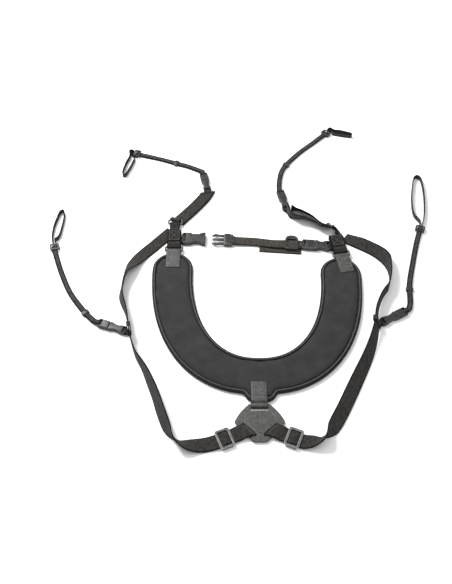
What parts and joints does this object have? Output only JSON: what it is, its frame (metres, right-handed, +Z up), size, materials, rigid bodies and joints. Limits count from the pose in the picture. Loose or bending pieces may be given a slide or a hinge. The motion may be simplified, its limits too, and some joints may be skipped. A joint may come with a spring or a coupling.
{
  "type": "dual camera shoulder harness",
  "caption": "Shoulder harness with a U-shaped padded yoke, webbing side straps to a leather back plate, a chest strap with an open buckle, and thin leads for hanging cameras.",
  "frame": {"origin": "centre of the bounding box at the floor the harness lies on", "axes": "+Z up off the floor, +Y from the leather back plate up past the shoulder pad, +X to the picture's right"},
  "size_m": [0.7308, 0.7614, 0.0306],
  "materials": {
    "neoprene": "dark charcoal knit over foam, matt",
    "binding": "near-black bound edge with a lighter piping line",
    "leather": "grey grained leather, satin, stitched",
    "webbing": "dark grey-brown woven webbing, matt",
    "chest_webbing": "browner woven webbing, matt",
    "plastic": "moulded black plastic, satin"
  },
  "bodies": {
    "root": {"pad": "neoprene", "pad_binding": "binding", "yoke_plate": "leather", "yoke_tab": "leather", "chest_link_socket_right": "plastic", "chest_link_plug_right": "plastic", "chest_strap": "chest_webbing", "chest_plug": "plastic", "chest_tail": "chest_webbing", "chest_keeper": "plastic", "chest_socket": "plastic", "chest_anchor": "chest_webbing", "pad_ring_left": "plastic", "pad_tab_left": "leather", "shoulder_block_left": "webbing", "top_ring_left": "plastic", "yoke_strap_left": "webbing", "adjuster_left": "plastic", "side_strap_left": "webbing", "upper_strap_left": "webbing", "upper_socket_left": "plastic", "upper_plug_left": "plastic", "upper_lead_left": "webbing", "upper_slider_left": "plastic", "upper_keeper_left": "plastic", "upper_loop_left": "webbing", "lower_hook_left": "webbing", "lower_socket_left": "plastic", "lower_plug_left": "plastic", "lower_lead_left": "webbing", "lower_slider_left": "plastic", "lower_keeper_left": "plastic", "lower_loop_left": "webbing", "pad_ring_right": "plastic", "pad_tab_right": "leather", "shoulder_block_right": "webbing", "top_ring_right": "plastic", "yoke_strap_right": "webbing", "adjuster_right": "plastic", "side_strap_right": "webbing", "upper_strap_right": "webbing", "upper_socket_right": "plastic", "upper_plug_right": "plastic", "upper_lead_right": "webbing", "upper_slider_right": "plastic", "upper_keeper_right": "plastic", "upper_loop_right": "webbing", "lower_hook_right": "webbing", "lower_socket_right": "plastic", "lower_plug_right": "plastic", "lower_lead_right": "webbing", "lower_slider_right": "plastic", "lower_keeper_right": "plastic", "lower_loop_right": "webbing", "upper_return_right": "webbing"}
  },
  "joints": []
}
